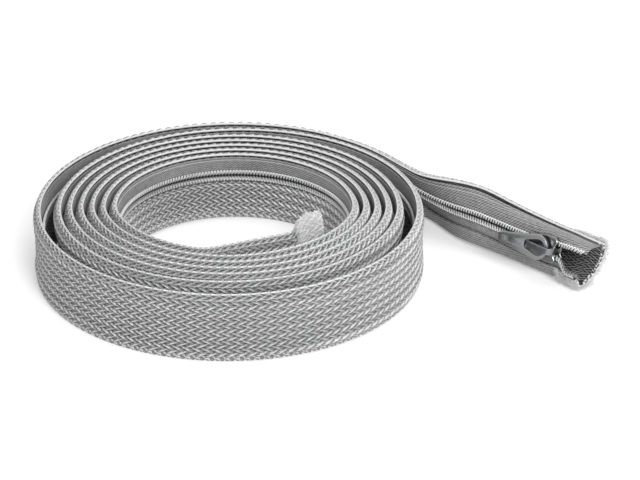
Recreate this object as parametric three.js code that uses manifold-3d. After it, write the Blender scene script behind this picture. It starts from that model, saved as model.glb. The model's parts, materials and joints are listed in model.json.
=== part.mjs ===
// Zippered cable sleeve: a 25 mm braided tube that opens along its whole length with a coil zip.
// It is rolled up on its edge as a loose spiral, and its open end runs off straight as a puffed tail.
// Millimetres, +Z up, the floor at z = 0. The tail runs along +X. The route is laid out about the middle
// of the coil, and the whole is moved at the end so that the origin is under the middle of the footprint.
// A cross-section is drawn with u outwards from the coil, v upwards, and u = 0 in the plane of the zip tapes.
import * as THREE from "three";
import { mergeVertices } from "three/addons/utils/BufferGeometryUtils.js";
import Module from "manifold-3d";

const wasm = await Module();
wasm.setup();

// Overall sizes.
const COIL_RADIUS = 69.6; // outer face of the outermost turn
const TURNS = 6.51; // from where the tail leaves the coil to the bend of the inner end
const TURN_PITCH = 3.95; // from one turn to the next
const OUTER_SLACK = 2.1; // how much looser the outermost turn lies
const SLACK_FROM = 0.85; // in turns: where the loose outer turn closes in
const SLACK_TO = 1.3;
const TAIL_END = 102.5; // middle of the mouth along X
const TAIL_OUT = 3; // how far the zip of the straight tail lies outside the coil's outer face
const LEAVE_ANGLE = 105; // degrees round the coil where the tail leaves it
const LEAVE_BEND = 80; // radius of the bend that turns the tail along X
const INNER_BEND = 18; // radius of the bend near the inner end
const INNER_TURN = 50; // degrees that this bend turns
const INNER_STRAIGHT = 39.5; // straight length up to the inner end
const INNER_FLARE = 4.6; // how much taller the bound inner end stands
const INNER_END_LEAN = 11; // degrees
const STRAIGHT_FROM = 56; // from here to the mouth the zip runs straight and doesn't twist
const BEND_LEAN = 24; // degrees that the flat tail leans towards the coil where it leaves it
const TAIL_LEAN = -14; // and where it is straight, with the zip facing a little upwards
const STATIONS_PER_TURN = 28;

// The braided tube.
const FLAT_HEIGHT = 25; // width of the flattened tube, which stands on its edge
const FLAT_DEPTH = 1.9; // between the middles of its two walls where it is flat
const TAIL_HEIGHT = 17.6; // where the tail is puffed up
const TAIL_DEPTH = 11.2;
const WALL = 0.7;
const CLEARANCE = 0.3; // between pieces that lie against each other
const SEAM_FLAT = 14.3; // height of the lower cut edge of the braid in the coil
const LIP_FLAT = 0.5; // half of the flat that the bottom fold stands on

// The zip.
const ZIP_FLAT = 17; // height of the zip's middle in the coil
const ZIP_TAIL = 10.6; // and in the tail
const TAPE = 0.4; // thickness
const TAPE_FLAT = 5.4; // the tape lies flat this far from the zip's middle
const TAPE_INNER = 1.3; // from the zip's middle to the tape's inner edge
const TOOTH_WIDTH = 2.05; // one row of the coil, across the zip
const TOOTH_DEPTH = 1.4;
const CHAIN_GAP = 0.15; // from the zip's middle to a closed row
const SPREAD = 1.35; // how far each row moves aside to pass the slider's post
const SPREAD_START = -5.4; // from the slider's middle: where the rows begin to part
const SPREAD_END = -1.8; // and where the slider's shoulders give them their full room

// The slider.
const SLIDER_X = 85.6;
const SLIDER_LENGTH = 13.2;
const REAR_FLANGE = 1; // the slider's rim beside the closed rows
const FRONT_FLANGE = 0.95; // and beside the parted rows, at its shoulders
const PLATE = 1.15;
const POST_WIDTH = 2;
const POST_LENGTH = 4.2;
const BRIDGE_WIDTH = 2.3;
const BRIDGE_LENGTH = 12.8;
const BRIDGE_THICK = 0.85;
const PULL_LENGTH = 22;
const PULL_WIDE = 9.6;
const PULL_NARROW = 4.4;
const PULL_THICK = 1.2;
const PULL_BAR = 1.3; // thickness of the ring's end
const PULL_LIFT = 15; // degrees that the free end stands off at rest
const HINGE_HEIGHT = 1.45; // middle of the pull's bar above the slider's plate
const HINGE_FORWARD = 3.6; // from the slider's middle to the bar

// The end bindings.
const BINDING = 0.6;
const MOUTH_BINDING = 11.5;
const INNER_BINDING = 10;
const MOUTH_SLANT = 0.3; // how far the mouth leans forward per mm of height

const radians = THREE.MathUtils.degToRad;
const smooth = (x, a, b) => THREE.MathUtils.smoothstep(x, Math.min(a, b), Math.max(a, b));
const mix = (a, b, t) => a + (b - a) * t;
const tailY = COIL_RADIUS + TAIL_OUT;
const rowRoom = CHAIN_GAP + TOOTH_WIDTH + CLEARANCE; // from the slider's middle to the rim beside a closed row
const sliderRear = 2 * (rowRoom + REAR_FLANGE);
const sliderFront = 2 * (rowRoom + SPREAD + FRONT_FLANGE);
const tapeToBraid = TAPE / 2 + CLEARANCE + WALL / 2;
const bindingShift = WALL / 2 + CLEARANCE + BINDING / 2;
const outerFace = FLAT_DEPTH - tapeToBraid + WALL / 2; // of a flat turn, from the tape plane

// The route of the tape plane, from the mouth to the inner end.
// Each station holds its place x, y, the direction `heading` in radians and what the section needs there.
function coilRadius(turn) {
  const slack = OUTER_SLACK * (1 - smooth(turn, SLACK_FROM, SLACK_TO));
  const wound = TURN_PITCH * Math.max(0, turn) * smooth(turn, 0, SLACK_TO);
  return COIL_RADIUS - OUTER_SLACK + slack - wound - outerFace;
}

// Turns at the front lean inwards, the inner ones most.
function coilLean(turn) {
  const angle = radians(LEAVE_ANGLE + 360 * turn);
  const front = Math.max(0, Math.cos(angle - radians(314)));
  const depth = smooth(turn, 0.8, 2.2) * (0.35 + 0.65 * (turn / TURNS));
  return radians(19) * Math.pow(front, 1.3) * depth;
}

function makeStations() {
  const stations = [];
  const leave = radians(LEAVE_ANGLE);
  const leaveTurn = leave - Math.PI / 2;
  const start = new THREE.Vector2(Math.cos(leave), Math.sin(leave)).multiplyScalar(coilRadius(0));
  const bendRise = LEAVE_BEND * (1 - Math.cos(leaveTurn));
  const ramp = (tailY - bendRise - start.y) / Math.sin(leaveTurn);
  const rampEnd = start.x + ramp * Math.cos(leaveTurn);
  const bendEnd = rampEnd + LEAVE_BEND * Math.sin(leaveTurn);

  // the straight tail
  const straight = [TAIL_END, 100.2, 98, 95.8, 93.6, 91, 88.5, 86, 83.5, 81, 78, 72, 66, 57, 50, 43, 36, 29, 23];
  straight.forEach((x) => {
    stations.push({ x, y: tailY, heading: Math.PI, tail: x });
  });
  // the bend and the ramp down to the coil
  const bendSteps = 5;
  for (let i = 0; i <= bendSteps; i++) {
    const a = (leaveTurn * i) / bendSteps;
    stations.push({
      x: bendEnd - LEAVE_BEND * Math.sin(a),
      y: tailY - LEAVE_BEND * (1 - Math.cos(a)),
      heading: Math.PI + a,
      tail: bendEnd - LEAVE_BEND * Math.sin(a),
    });
  }
  [0.25, 0.5, 0.75].forEach((k) => {
    stations.push({
      x: mix(rampEnd, start.x, k),
      y: start.y + ramp * (1 - k) * Math.sin(leaveTurn),
      heading: Math.PI + leaveTurn,
      tail: mix(rampEnd, start.x, k),
    });
  });
  // the wound turns
  const steps = Math.round(TURNS * STATIONS_PER_TURN);
  for (let i = 0; i <= steps; i++) {
    const turn = (TURNS * i) / steps;
    const a = leave + 2 * Math.PI * turn;
    const r = coilRadius(turn);
    stations.push({
      x: r * Math.cos(a),
      y: r * Math.sin(a),
      heading: a + Math.PI / 2,
      turn,
      lean: coilLean(turn),
    });
  }
  // the inner end bends away from the coil and stands across it
  const last = stations[stations.length - 1];
  const left = last.heading + Math.PI / 2;
  const centre = new THREE.Vector2(
    last.x + INNER_BEND * Math.cos(left),
    last.y + INNER_BEND * Math.sin(left),
  );
  const innerSteps = 4;
  for (let i = 1; i <= innerSteps; i++) {
    const heading = last.heading + (radians(INNER_TURN) * i) / innerSteps;
    stations.push({
      x: centre.x + INNER_BEND * Math.cos(heading - Math.PI / 2),
      y: centre.y + INNER_BEND * Math.sin(heading - Math.PI / 2),
      heading,
      turn: TURNS,
      lean: last.lean,
    });
  }
  const corner = stations[stations.length - 1];
  const toBinding = INNER_STRAIGHT - INNER_BINDING;
  [toBinding / 2, toBinding - 2, toBinding, toBinding + INNER_BINDING / 2, INNER_STRAIGHT].forEach((d) => {
    const bound = d < toBinding ? 0 : 1;
    stations.push({
      x: corner.x + d * Math.cos(corner.heading),
      y: corner.y + d * Math.sin(corner.heading),
      heading: corner.heading,
      turn: TURNS,
      lean: mix(last.lean, radians(INNER_END_LEAN), d / INNER_STRAIGHT),
      bound,
      flare: INNER_FLARE * smooth(d, toBinding - 2, toBinding + INNER_BINDING / 2),
    });
  });
  return stations;
}

// What the section is like at a station: how puffed, how open, how high and how far it leans.
function describe(station) {
  const inTail = station.tail !== undefined;
  const x = inTail ? station.tail : -1000;
  const puff = inTail ? smooth(x, 10, 92) : 0;
  const lower = inTail ? smooth(x, 5, STRAIGHT_FROM + 34) : 0;
  const height = mix(FLAT_HEIGHT, TAIL_HEIGHT, lower) + (station.flare || 0);
  const depth = mix(FLAT_DEPTH, TAIL_DEPTH, puff);
  const zip = mix(ZIP_FLAT, ZIP_TAIL, inTail ? smooth(x, 5, STRAIGHT_FROM) : 0);
  const open = inTail ? smooth(x, SLIDER_X + SLIDER_LENGTH / 2 - 0.7, SLIDER_X + SLIDER_LENGTH / 2 + 6) : 0;
  const spread = inTail ? SPREAD * smooth(x, SLIDER_X - 6, SLIDER_X + 0.5) : 0;
  const uncover = inTail ? smooth(x, 2, 30) : 0;
  const slant = inTail ? MOUTH_SLANT * smooth(x, SLIDER_X + 4, TAIL_END) : 0;
  const bindingFrom = TAIL_END - MOUTH_BINDING;
  const bound = inTail ? smooth(x, bindingFrom - 5, bindingFrom - 0.5) : station.bound || 0;
  let lean = station.lean || 0;
  if (inTail) {
    lean = radians(x > STRAIGHT_FROM ? TAIL_LEAN : mix(BEND_LEAN, TAIL_LEAN, smooth(x, 24, STRAIGHT_FROM)));
    lean *= smooth(x, -22, 20);
  }
  const pivot = inTail ? zip : 0;
  const level = inTail ? smooth(x, 24, STRAIGHT_FROM) : 0;
  return { puff, height, depth, zip, open, spread, uncover, slant, lean, pivot, bound, level };
}

// The middle line of the braid's wall, from its upper cut edge over the outer side to its lower cut edge.
function braidLine(d, offset) {
  const top = d.height - WALL / 2;
  const bottom = WALL / 2;
  const middle = d.depth / 2 - tapeToBraid;
  const r = d.depth / 2;
  const arc = (deg, high) => {
    const a = radians(deg);
    return [middle + r * Math.cos(a), high + r * Math.sin(a)];
  };
  const seam = SEAM_FLAT;
  const flat = [
    arc(100, top - r),
    arc(55, top - r),
    arc(10, top - r),
    [middle + r, mix(bottom, top, 0.66)],
    [middle + r, mix(bottom, top, 0.33)],
    arc(-10, bottom + r),
    [middle + LIP_FLAT, bottom],
    [middle - LIP_FLAT, bottom],
    arc(-170, bottom + r),
    [middle - r, seam],
  ];
  const a = (d.height - WALL) / 2;
  const seamDeg = mix(-149, -132, d.open);
  const upDeg = mix(84, 92, d.open);
  const angles = [upDeg, 62, 38, 12, -18, -50, null, null, -118, seamDeg];
  const round = angles.map((deg, i) => {
    if (deg === null) return [middle + (i === 6 ? 1 : -1) * mix(LIP_FLAT, 1.6, d.puff), bottom];
    const t = radians(deg);
    return [middle + r * Math.cos(t), bottom + a + a * Math.sin(t)];
  });
  const line = flat.map((p, i) => {
    const k = i === 9 ? Math.max(d.puff, d.uncover) : d.puff;
    return new THREE.Vector2(mix(p[0], round[i][0], k), mix(p[1], round[i][1], k));
  });
  return offset ? offsetLine(line, offset) : line;
}

// Moves a line sideways, outwards for a positive distance.
function offsetLine(line, distance) {
  return line.map((p, i) => {
    const before = line[Math.max(0, i - 1)];
    const after = line[Math.min(line.length - 1, i + 1)];
    const one = new THREE.Vector2().subVectors(p, before).normalize();
    const two = new THREE.Vector2().subVectors(after, p).normalize();
    if (i === 0) one.copy(two);
    if (i === line.length - 1) two.copy(one);
    const along = new THREE.Vector2().addVectors(one, two).normalize();
    const stretch = 1 / Math.max(0.6, along.dot(one));
    return new THREE.Vector2(p.x - along.y * distance * stretch, p.y + along.x * distance * stretch);
  });
}

// A closed strip of the given thickness about a line.
function strip(line, thickness, shift = 0) {
  const outside = offsetLine(line, shift + thickness / 2);
  const inside = offsetLine(line, shift - thickness / 2);
  return outside.concat(inside.reverse());
}

// The middle line of a tape, from the edge that carries the teeth to the edge that is sewn to the braid.
function tapeLine(d, side) {
  const braid = offsetLine(braidLine(d), -(tapeToBraid));
  const edge = new THREE.Vector2(0, d.zip + side * (TAPE_INNER + d.spread));
  const bend = new THREE.Vector2(0, d.zip + side * TAPE_FLAT);
  let sewn;
  if (side > 0) {
    bend.y = Math.min(bend.y, d.height - WALL - CLEARANCE - 1.6);
    const flatEnd = new THREE.Vector2(0, d.height - WALL - CLEARANCE - TAPE / 2);
    sewn = flatEnd.lerp(braid[0], d.puff);
    if (d.puff > 0) sewn.y = Math.min(sewn.y, d.height - WALL - CLEARANCE - TAPE / 2);
  } else {
    const flatEnd = new THREE.Vector2(0, d.zip - 7.6);
    const roundEnd = new THREE.Vector2().lerpVectors(braid[9], braid[8], 0.25);
    sewn = flatEnd.lerp(roundEnd, Math.max(d.puff, d.uncover));
    bend.y = Math.max(bend.y, sewn.y + 1);
  }
  if (d.open > 0) {
    const wide = side > 0
      ? [new THREE.Vector2(-2.4, d.zip + 3.2), new THREE.Vector2(-1, d.zip + 5.1)]
      : [new THREE.Vector2(-1.9, d.zip - 5.4), new THREE.Vector2(0, d.zip - 7)];
    edge.lerp(wide[0], d.open);
    bend.lerp(wide[1], d.open);
  }
  return [edge, bend, sewn];
}

// One row of the zip's coil, on the face of its tape.
function toothSection(d, side) {
  const [edge, bend] = tapeLine(d, side);
  const along = new THREE.Vector2().subVectors(bend, edge).normalize();
  const face = side > 0 ? new THREE.Vector2(-along.y, along.x) : new THREE.Vector2(along.y, -along.x);
  const near = -(TAPE_INNER - CHAIN_GAP);
  const far = near + TOOTH_WIDTH;
  const low = TAPE / 2 + CLEARANCE;
  const high = low + TOOTH_DEPTH;
  const corner = (s, h) => edge.clone().addScaledVector(along, s).addScaledVector(face, h);
  return [corner(near, low), corner(near, high), corner(far, high), corner(far, low)];
}

// Carries a section along the stations and closes both ends.
function sweep(stations, sectionOf) {
  const rings = stations.map((station) => {
    const d = describe(station);
    const section = sectionOf(d, station);
    const place = placer(station, d);
    return section.map(place);
  });
  const n = rings[0].length;
  const positions = rings.flat().flatMap((p) => [p.x, p.y, p.z]);
  const index = [];
  const first = sectionOf(describe(stations[0]), stations[0]);
  const last = sectionOf(describe(stations[stations.length - 1]), stations[stations.length - 1]);
  const clockwise = THREE.ShapeUtils.isClockWise(first);
  for (let i = 0; i + 1 < rings.length; i++) {
    for (let j = 0; j < n; j++) {
      const a = i * n + j;
      const b = i * n + ((j + 1) % n);
      if (clockwise) index.push(a, a + n, b, b, a + n, b + n);
      else index.push(a, b, a + n, b, b + n, a + n);
    }
  }
  // the triangles come back anticlockwise, which faces along the route at its end only
  const cap = (shape, base, flip) => {
    THREE.ShapeUtils.triangulateShape(shape, []).forEach(([a, b, c]) => {
      const turned = THREE.ShapeUtils.area([shape[a], shape[b], shape[c]]) < 0;
      if (flip !== turned) index.push(base + a, base + c, base + b);
      else index.push(base + a, base + b, base + c);
    });
  };
  cap(first, 0, true);
  cap(last, (rings.length - 1) * n, false);
  const geometry = new THREE.BufferGeometry();
  geometry.setAttribute("position", new THREE.Float32BufferAttribute(positions, 3));
  geometry.setIndex(index);
  return facingOut(geometry);
}

// Turns every triangle round if the closed mesh is inside out.
function facingOut(geometry) {
  const p = geometry.attributes.position;
  const index = geometry.index.array;
  let volume = 0;
  const a = new THREE.Vector3();
  const b = new THREE.Vector3();
  const c = new THREE.Vector3();
  for (let i = 0; i < index.length; i += 3) {
    a.fromBufferAttribute(p, index[i]);
    b.fromBufferAttribute(p, index[i + 1]);
    c.fromBufferAttribute(p, index[i + 2]);
    volume += a.dot(b.cross(c));
  }
  if (volume < 0) {
    for (let i = 0; i < index.length; i += 3) [index[i], index[i + 1]] = [index[i + 1], index[i]];
  }
  geometry.computeVertexNormals();
  return geometry;
}

// Leans a section's point about its pivot.
function leaned(p, d) {
  const cos = Math.cos(d.lean);
  const sin = Math.sin(d.lean);
  return { out: p.x * cos - (p.y - d.pivot) * sin, high: p.x * sin + (p.y - d.pivot) * cos };
}

// How high the pivot lies when the leaning section just stands on the floor.
function standing(d) {
  const lowest = (section) => Math.min(...section.map((p) => leaned(p, d).high));
  const bare = lowest(strip(braidLine(d), WALL));
  const bound = lowest(strip(braidLine(d), BINDING, bindingShift));
  return -mix(bare, bound, d.bound);
}

// The zip keeps one height along the straight tail, where the bound mouth stands on the floor.
function straightHeight() {
  return standing(describe({ tail: TAIL_END }));
}

// Gives the function that puts a section's point (u, v) into the part's frame at a station.
function placer(station, d) {
  const own = standing(d);
  const raised = Math.max(own, mix(own, straightHeight(), d.level));
  const outX = Math.sin(station.heading);
  const outY = -Math.cos(station.heading);
  return (p) => {
    const q = leaned(p, d);
    const z = q.high + raised;
    const forward = d.slant * (z - TAIL_HEIGHT / 2);
    return new THREE.Vector3(
      station.x + q.out * outX - forward * Math.cos(station.heading),
      station.y + q.out * outY - forward * Math.sin(station.heading),
      z,
    );
  };
}

const stations = makeStations();
const mouthStations = stations.filter((s) => s.tail !== undefined && s.tail >= TAIL_END - MOUTH_BINDING - 1.5);
const innerStations = stations.slice(-3);

// Solids for the booleans.
function toSolid(geometry) {
  const bare = geometry.clone();
  bare.deleteAttribute("normal");
  bare.deleteAttribute("uv");
  const merged = mergeVertices(bare, 1e-4);
  return new wasm.Manifold(
    new wasm.Mesh({
      numProp: 3,
      vertProperties: merged.attributes.position.array,
      triVerts: new Uint32Array(merged.index.array),
    }),
  );
}

function toGeometry(solid) {
  const mesh = solid.getMesh();
  const geometry = new THREE.BufferGeometry();
  geometry.setAttribute("position", new THREE.BufferAttribute(mesh.vertProperties, 3));
  geometry.setIndex(new THREE.BufferAttribute(mesh.triVerts, 1));
  geometry.computeVertexNormals();
  return geometry;
}

// Extrudes an outline drawn along x (forward) and z (across the zip) by a thickness along y.
function slab(shape, y0, y1, bevel = 0, curveSegments = 4) {
  const geometry = new THREE.ExtrudeGeometry(shape, {
    depth: y1 - y0 - 2 * bevel,
    bevelEnabled: bevel > 0,
    bevelThickness: bevel,
    bevelSize: bevel,
    bevelOffset: -bevel,
    bevelSegments: 1,
    curveSegments,
  });
  geometry.translate(0, 0, bevel);
  // shape x stays x, shape y becomes z, and the depth runs along -y
  geometry.rotateX(Math.PI / 2);
  geometry.translate(0, y1, 0);
  return geometry;
}

// The slider, in its own frame: x forward to the open side, y into the sleeve, z across the zip.
// y = 0 is the plane of the tapes.
const toothOuter = TAPE / 2 + CLEARANCE + TOOTH_DEPTH;
const topPlateIn = -(toothOuter + CLEARANCE);
const topPlateOut = topPlateIn - PLATE;
const backPlateIn = TAPE / 2 + CLEARANCE;
const backPlateOut = backPlateIn + PLATE;

function plateShape(widen) {
  const l = SLIDER_LENGTH / 2;
  const rear = sliderRear / 2 + widen;
  const front = sliderFront / 2 + widen;
  const shape = new THREE.Shape();
  shape.moveTo(-l, -rear + 1.4);
  shape.quadraticCurveTo(-l, -rear, -l + 1.6, -rear);
  shape.bezierCurveTo(-l + 5, -rear, -l + 5.6, -front, -l + 8.2, -front);
  shape.lineTo(l - 2, -front);
  shape.quadraticCurveTo(l, -front, l, -front + 1.8);
  shape.quadraticCurveTo(l - 1.4, -1.6, l - 0.5, 0);
  shape.quadraticCurveTo(l - 1.4, 1.6, l, front - 1.8);
  shape.quadraticCurveTo(l, front, l - 2, front);
  shape.lineTo(-l + 8.2, front);
  shape.bezierCurveTo(-l + 5.6, front, -l + 5, rear, -l + 1.6, rear);
  shape.quadraticCurveTo(-l, rear, -l, rear - 1.4);
  shape.closePath();
  return shape;
}

// The flange along one side of the plate keeps the teeth together and leaves a slot for the tape.
function flangeShape(side) {
  const l = SLIDER_LENGTH / 2;
  const closed = rowRoom;
  const opened = closed + SPREAD;
  const rear = sliderRear / 2 - 0.1;
  const front = sliderFront / 2 - 0.1;
  const shape = new THREE.Shape();
  shape.moveTo(-l + 0.8, side * closed);
  shape.lineTo(-l + 0.8, side * rear);
  shape.lineTo(-l + 3.4, side * rear);
  shape.lineTo(-l + 6.4, side * front);
  shape.lineTo(l - 1.6, side * front);
  shape.lineTo(l - 1.6, side * opened);
  shape.lineTo(SPREAD_END, side * opened);
  shape.lineTo(SPREAD_START, side * closed);
  shape.closePath();
  return shape;
}

function postShape() {
  const front = SLIDER_LENGTH / 2 - 1;
  const half = POST_WIDTH / 2;
  const shape = new THREE.Shape();
  shape.moveTo(front, half * 0.6);
  shape.lineTo(front - 1, half);
  shape.lineTo(front - POST_LENGTH * 0.5, half);
  shape.lineTo(front - POST_LENGTH, 0.15);
  shape.lineTo(front - POST_LENGTH, -0.15);
  shape.lineTo(front - POST_LENGTH * 0.5, -half);
  shape.lineTo(front - 1, -half);
  shape.lineTo(front, -half * 0.6);
  shape.closePath();
  return shape;
}

// The bridge is an arch over the plate, drawn from the side: x forward, height above the plate.
function bridgeGeometry() {
  const half = BRIDGE_LENGTH / 2;
  const inside = HINGE_HEIGHT + 1.35;
  const top = inside + BRIDGE_THICK;
  const leg = 1.2;
  const shape = new THREE.Shape();
  shape.moveTo(-half, -0.4);
  shape.bezierCurveTo(-half, top * 0.8, -half + 1.2, top, -half + 3.2, top);
  shape.lineTo(half - 1.8, top);
  shape.quadraticCurveTo(half, top, half, top - 1.8);
  shape.lineTo(half, -0.4);
  shape.lineTo(half - leg, -0.4);
  shape.lineTo(half - leg, inside - 0.8);
  shape.quadraticCurveTo(half - leg, inside, half - leg - 0.8, inside);
  shape.lineTo(-half + 3.4, inside);
  shape.bezierCurveTo(-half + 2, inside, -half + leg + 0.2, inside - 0.8, -half + leg, -0.4);
  shape.closePath();
  const geometry = new THREE.ExtrudeGeometry(shape, {
    depth: BRIDGE_WIDTH - 0.3,
    bevelEnabled: true,
    bevelThickness: 0.15,
    bevelSize: 0.15,
    bevelOffset: -0.15,
    bevelSegments: 1,
    curveSegments: 5,
  });
  geometry.translate(0, 0, -(BRIDGE_WIDTH - 0.3) / 2);
  // height above the plate points out of the sleeve, which is -y
  geometry.rotateX(Math.PI / 2);
  const flipped = geometry.clone();
  flipped.applyMatrix4(new THREE.Matrix4().makeRotationX(Math.PI / 2));
  geometry.dispose();
  return flipped;
}

function sliderGeometry() {
  const outer = toSolid(slab(plateShape(0), topPlateOut, topPlateIn, 0.25));
  const back = toSolid(slab(plateShape(-0.6), backPlateIn, backPlateOut, 0.2));
  const post = toSolid(slab(postShape(), topPlateIn - 0.3, backPlateIn + 0.3));
  const flangeDepth = -(TAPE / 2 + CLEARANCE);
  const left = toSolid(slab(flangeShape(1), topPlateIn - 0.3, flangeDepth));
  const right = toSolid(slab(flangeShape(-1), topPlateIn - 0.3, flangeDepth));
  return outer.add(back).add(post).add(left).add(right);
}

// The pull tab: x from the bar (0) back to the free end, y its thickness, z across.
function pullShape() {
  const ringEnd = PULL_BAR / 2;
  const r = PULL_WIDE / 2;
  const end = ringEnd - PULL_LENGTH;
  const half = PULL_NARROW / 2;
  const shape = new THREE.Shape();
  shape.absarc(ringEnd - r, 0, r, -Math.PI / 2 + 0.12, Math.PI / 2 - 0.12, false);
  shape.lineTo(end + 3.4, half + 0.15);
  shape.quadraticCurveTo(end, half, end, half * 0.35);
  shape.lineTo(end, -half * 0.35);
  shape.quadraticCurveTo(end, -half, end + 3.4, -half - 0.15);
  shape.closePath();
  const hole = new THREE.Path();
  const wide = r - 1.8;
  const narrow = 1.7;
  const near = ringEnd - PULL_BAR - wide;
  hole.absarc(near, 0, wide, -Math.PI / 2, Math.PI / 2, false);
  hole.absarc(near - 8.6, 0, narrow, Math.PI / 2, (3 * Math.PI) / 2, false);
  hole.closePath();
  shape.holes.push(hole);
  return shape;
}

function pullGeometry() {
  const plate = toSolid(slab(pullShape(), -PULL_THICK / 2, PULL_THICK / 2, 0.2, 7));
  const end = PULL_BAR / 2 - PULL_LENGTH;
  const recess = new THREE.BoxGeometry(2.6, 0.8, 2);
  recess.translate(end + 3.4, -PULL_THICK / 2, 0);
  return toGeometry(plate.subtract(toSolid(recess)));
}

// Materials.
const fabric = (color, roughness) => new THREE.MeshStandardMaterial({ color, roughness, metalness: 0 });
const metal = (color, roughness) => new THREE.MeshStandardMaterial({ color, roughness, metalness: 1 });

const sleeve = new THREE.Group();

function addPiece(name, geometry, material, parent = sleeve) {
  const mesh = new THREE.Mesh(geometry, material);
  mesh.name = name;
  parent.add(mesh);
  return mesh;
}

addPiece("braided_sleeve", sweep(stations, (d) => strip(braidLine(d), WALL)), fabric(0x8d8e8f, 0.6));
addPiece("zip_tape_upper", sweep(stations, (d) => strip(tapeLine(d, 1), TAPE)), fabric(0x6f7072, 0.85));
addPiece("zip_tape_lower", sweep(stations, (d) => strip(tapeLine(d, -1), TAPE)), fabric(0x6f7072, 0.85));
addPiece("zip_coil_upper", sweep(stations, (d) => toothSection(d, 1)), fabric(0x7d7e80, 0.45));
addPiece("zip_coil_lower", sweep(stations, (d) => toothSection(d, -1)), fabric(0x7d7e80, 0.45));
addPiece(
  "mouth_binding",
  sweep(mouthStations, (d) => strip(braidLine(d), BINDING, bindingShift)),
  fabric(0xc4c4c6, 0.9),
);
addPiece(
  "inner_end_binding",
  sweep(innerStations, (d) => strip(braidLine(d), BINDING, bindingShift)),
  fabric(0xc4c4c6, 0.9),
);

// The slider stands on the tapes of the straight tail, square to the section that leans there.
const atSlider = { x: SLIDER_X, y: tailY, heading: Math.PI, tail: SLIDER_X };
const sliderSection = describe(atSlider);
const sliderPlace = placer(atSlider, { ...sliderSection, slant: 0 })(new THREE.Vector2(0, sliderSection.zip));
const slider = new THREE.Group();
slider.position.copy(sliderPlace);
slider.rotation.x = sliderSection.lean;
sleeve.add(slider);
const bridge = bridgeGeometry();
bridge.translate(0, topPlateOut, 0);
addPiece("slider_body", toGeometry(sliderGeometry().add(toSolid(bridge))), metal(0x9a9b9d, 0.35), slider);

const hinge = new THREE.Group();
hinge.position.set(HINGE_FORWARD, topPlateOut - HINGE_HEIGHT, 0);
hinge.rotation.z = radians(PULL_LIFT);
slider.add(hinge);
addPiece("pull_tab", pullGeometry(), metal(0x9a9b9d, 0.3), hinge);

// The part's origin is on the floor under the middle of its footprint.
const footprint = new THREE.Box3().setFromObject(sleeve, true).getCenter(new THREE.Vector3());
sleeve.position.set(-footprint.x, -footprint.y, 0);
const part = new THREE.Group();
part.add(sleeve);

export default part;
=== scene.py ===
import json
import math

import bmesh
import bpy
import numpy as np
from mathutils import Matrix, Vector


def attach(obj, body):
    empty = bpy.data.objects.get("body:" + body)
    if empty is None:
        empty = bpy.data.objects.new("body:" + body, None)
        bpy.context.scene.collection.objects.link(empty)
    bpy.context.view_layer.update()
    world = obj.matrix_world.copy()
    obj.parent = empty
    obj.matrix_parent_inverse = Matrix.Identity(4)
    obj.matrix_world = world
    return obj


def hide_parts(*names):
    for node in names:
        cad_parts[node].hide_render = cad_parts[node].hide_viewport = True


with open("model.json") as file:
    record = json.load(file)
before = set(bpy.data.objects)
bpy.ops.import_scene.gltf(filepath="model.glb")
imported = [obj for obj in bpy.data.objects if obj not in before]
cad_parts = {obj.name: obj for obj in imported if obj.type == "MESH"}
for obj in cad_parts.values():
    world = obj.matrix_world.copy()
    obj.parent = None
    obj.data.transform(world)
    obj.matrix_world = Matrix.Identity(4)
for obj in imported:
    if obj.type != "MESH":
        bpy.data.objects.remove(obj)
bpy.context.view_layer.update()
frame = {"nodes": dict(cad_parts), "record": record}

MM = 0.001
RNG = np.random.default_rng(7)

# The route and the section of the sleeve, with the same values as the part.
# The coil's middle is given in the part's own frame.
COIL_MIDDLE = np.array([-18.0695, -7.3853])
COIL_RADIUS = 69.6
TURNS = 6.51
TURN_PITCH = 3.95
OUTER_SLACK = 2.1
SLACK_FROM, SLACK_TO = 0.85, 1.3
TAIL_END = 102.5
TAIL_OUT = 3.0
TAIL_Y = COIL_RADIUS + TAIL_OUT
LEAVE_ANGLE = 105.0
LEAVE_BEND = 80.0
INNER_BEND = 18.0
INNER_TURN = 50.0
INNER_STRAIGHT = 39.5
INNER_FLARE = 4.6
INNER_END_LEAN = 11.0
STRAIGHT_FROM = 56.0
BEND_LEAN, TAIL_LEAN = 24.0, -14.0
FLAT_HEIGHT, FLAT_DEPTH = 25.0, 1.9
TAIL_HEIGHT, TAIL_DEPTH = 17.6, 11.2
WALL, CLEARANCE = 0.7, 0.3
SEAM_FLAT, LIP_FLAT = 14.3, 0.5
ZIP_FLAT, ZIP_TAIL = 17.0, 10.6
TAPE, TAPE_FLAT, TAPE_INNER = 0.4, 5.4, 1.3
TOOTH_WIDTH, TOOTH_DEPTH, CHAIN_GAP, SPREAD = 2.05, 1.4, 0.15, 1.35
SLIDER_X, SLIDER_LENGTH = 85.6, 13.2
PULL_LIFT = 15.0
BINDING, MOUTH_BINDING, INNER_BINDING, MOUTH_SLANT = 0.6, 11.5, 10.0, 0.3
TAPE_TO_BRAID = TAPE / 2 + CLEARANCE + WALL / 2
BINDING_SHIFT = WALL / 2 + CLEARANCE + BINDING / 2
OUTER_FACE = FLAT_DEPTH - TAPE_TO_BRAID + WALL / 2

# The turns of the coil lean inwards, most of all at its front and in its middle.
LEAN_MOST, LEAN_FRONT, LEAN_FALL = 19.0, 314.0, 1.3
LEAN_FROM, LEAN_FULL, LEAN_LEAST = 0.8, 2.2, 0.35
# Where along X the tail leaves the coil's form and takes on its own.
TAIL_FROM, TAIL_LEAN_FROM, TWIST_FROM = -22.0, 20.0, 24.0
PUFF_FROM, PUFF_TO, SETTLE_FROM, HEIGHT_TO = 10.0, 92.0, 5.0, 90.0
UNCOVER_FROM, UNCOVER_TO = 2.0, 30.0
# From the slider's middle: where the rows part, and where the mouth begins to slant.
SPREAD_START, SPREAD_END, SLANT_START = -6.0, 0.5, 4.0
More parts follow.
